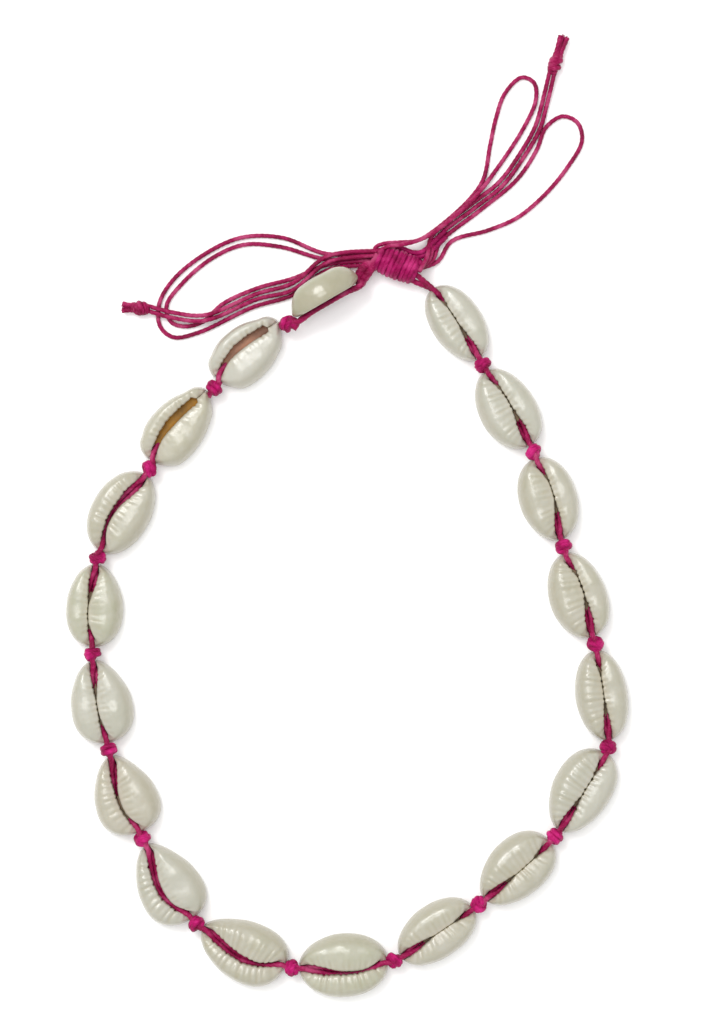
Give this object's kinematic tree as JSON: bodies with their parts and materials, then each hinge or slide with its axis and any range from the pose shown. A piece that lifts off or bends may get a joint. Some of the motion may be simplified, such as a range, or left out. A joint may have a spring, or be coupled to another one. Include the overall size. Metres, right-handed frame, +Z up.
{
  "type": "cowrie shell necklace",
  "caption": "Choker of cut-back cowrie shells strung on a doubled magenta cord with a knot after each shell, closed by a wrapped sliding knot with loose bows and knotted tails.",
  "frame": {"origin": "on the surface that the necklace lies on, below the middle of the closed loop of shells and knots", "axes": "+Z up, square to the surface that it lies on and out of the shells' toothed fronts; +Y from the lowest shells towards the sliding knot; +X to the right seen from above"},
  "size_m": [0.1241, 0.2125, 0.0132],
  "materials": {
    "shell": "polished shell, cream to faint green, brown inside",
    "knot_cord": "waxed twisted cord, tight and knotted",
    "strand_cord": "waxed twisted cord"
  },
  "bodies": {
    "root": {"shell_01": "shell", "shell_02": "shell", "shell_03": "shell", "shell_04": "shell", "shell_05": "shell", "shell_06": "shell", "shell_07": "shell", "shell_08": "shell", "shell_09": "shell", "shell_10": "shell", "shell_11": "shell", "shell_12": "shell", "shell_13": "shell", "shell_14": "shell", "shell_15": "shell", "shell_16": "shell", "shell_17": "shell", "shell_18": "shell", "knot_01": "knot_cord", "knot_02": "knot_cord", "knot_03": "knot_cord", "knot_04": "knot_cord", "knot_05": "knot_cord", "knot_06": "knot_cord", "knot_07": "knot_cord", "knot_08": "knot_cord", "knot_09": "knot_cord", "knot_10": "knot_cord", "knot_11": "knot_cord", "knot_12": "knot_cord", "knot_13": "knot_cord", "knot_14": "knot_cord", "knot_15": "knot_cord", "knot_16": "knot_cord", "knot_17": "knot_cord", "slider_knot": "knot_cord", "left_end_knot": "knot_cord", "right_end_knot": "knot_cord", "strand_a": "strand_cord", "strand_b": "strand_cord", "left_bow_a": "strand_cord", "left_bow_b": "strand_cord", "left_tail_a": "strand_cord", "left_tail_b": "strand_cord", "right_bow_a": "strand_cord", "right_bow_b": "strand_cord", "right_tail_a": "strand_cord", "right_tail_b": "strand_cord"}
  },
  "joints": []
}
